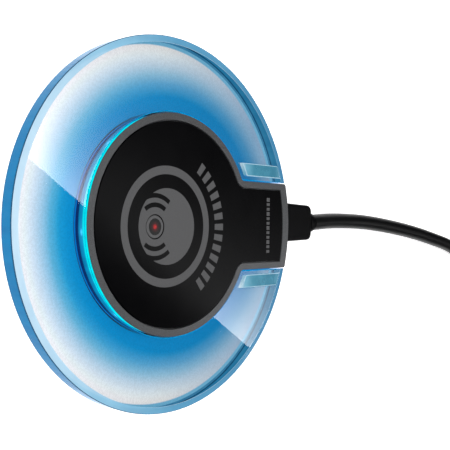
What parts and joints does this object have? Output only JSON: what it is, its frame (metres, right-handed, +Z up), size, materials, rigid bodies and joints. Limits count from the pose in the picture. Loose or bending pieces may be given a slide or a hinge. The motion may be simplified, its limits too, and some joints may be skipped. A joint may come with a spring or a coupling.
{
  "type": "wireless charging pad",
  "caption": "Round wireless charging pad: a clear blue-lit disc around a keyhole-shaped black and gunmetal housing, with a micro-USB plug, cable and USB-A end.",
  "frame": {"origin": "under the disc's centre, on the surface that the pad stands on", "axes": "+Z up, out of the charging face; +Y from the centre towards the tab, its socket and the cable"},
  "size_m": [0.098, 0.3098, 0.0118],
  "materials": {
    "clear_acrylic": "polished clear acrylic, lit blue from the hub",
    "graded_film": "translucent film, pale at the rim and blue at the hub",
    "glow_collar": "clear collar glowing cyan from the lamps behind it",
    "gunmetal_cover": "satin gunmetal lacquer with brighter edges",
    "gloss_black": "deep gloss black inlay",
    "satin_black": "fine-grained satin black moulding",
    "soft_black": "soft matt black jacket and moulded grips",
    "foot_rubber": "matt grey-black anti-slip rubber",
    "tie_strap": "woven hook-and-loop strap",
    "indicator_glass": "dark smoked lens with a red glow",
    "copper_wire": "varnished stranded copper winding",
    "ferrite_grey": "sintered ferrite",
    "board_green": "solder-masked board",
    "chip_black": "moulded chip package",
    "ceramic_tan": "ceramic component body",
    "plated_steel": "bright nickel plating",
    "gilt_contact": "gold-flashed contact",
    "screw_steel": "zinc-plated screw steel",
    "lamp_white": "blue lamp body",
    "lamp_red": "red lamp body",
    "insulator_white": "white moulded insulator"
  },
  "bodies": {
    "pad": {"bottom_cover": "satin_black", "charging_coil": "copper_wire", "circuit_board": "board_green", "coil_driver_1": "chip_black", "coil_driver_2": "chip_black", "coil_lead_1": "copper_wire", "coil_lead_2": "copper_wire", "coil_thermistor": "ceramic_tan", "control_chip": "chip_black", "cover_screw_1": "screw_steel", "cover_screw_2": "screw_steel", "cover_screw_3": "screw_steel", "cover_screw_4": "screw_steel", "crystal_disc": "clear_acrylic", "diffuser_film": "graded_film", "face_plate": "gloss_black", "ferrite_shield": "ferrite_grey", "filter_inductor": "ferrite_grey", "foot_ring": "foot_rubber", "indicator_lamp": "lamp_red", "indicator_lens": "indicator_glass", "indicator_pipe": "insulator_white", "light_ring": "glow_collar", "resonant_cap_1": "ceramic_tan", "resonant_cap_2": "ceramic_tan", "resonant_cap_3": "ceramic_tan", "resonant_cap_4": "ceramic_tan", "ring_lamp_1": "lamp_white", "ring_lamp_2": "lamp_white", "ring_lamp_3": "lamp_white", "ring_lamp_4": "lamp_white", "ring_lamp_5": "lamp_white", "ring_lamp_6": "lamp_white", "ring_lamp_7": "lamp_white", "side_window_1": "clear_acrylic", "side_window_2": "clear_acrylic", "socket_shell": "plated_steel", "socket_tongue": "insulator_white", "tab_foot": "foot_rubber", "top_cover": "gunmetal_cover"},
    "cable": {"cable_tie": "tie_strap", "cord_coil": "soft_black", "cord_lead": "soft_black", "cord_tail": "soft_black", "plug_insert": "chip_black", "plug_overmould": "soft_black", "plug_relief": "soft_black", "plug_shell": "plated_steel", "usb_a_contact_1": "gilt_contact", "usb_a_contact_2": "gilt_contact", "usb_a_contact_3": "gilt_contact", "usb_a_contact_4": "gilt_contact", "usb_a_insert": "insulator_white", "usb_a_overmould": "soft_black", "usb_a_relief": "soft_black", "usb_a_shell": "plated_steel"}
  },
  "joints": [
    {"name": "plug_pull", "type": "slide", "parent": "pad", "child": "cable", "axis": [0, 1, 0], "range_m": [0, 0.012]}
  ]
}
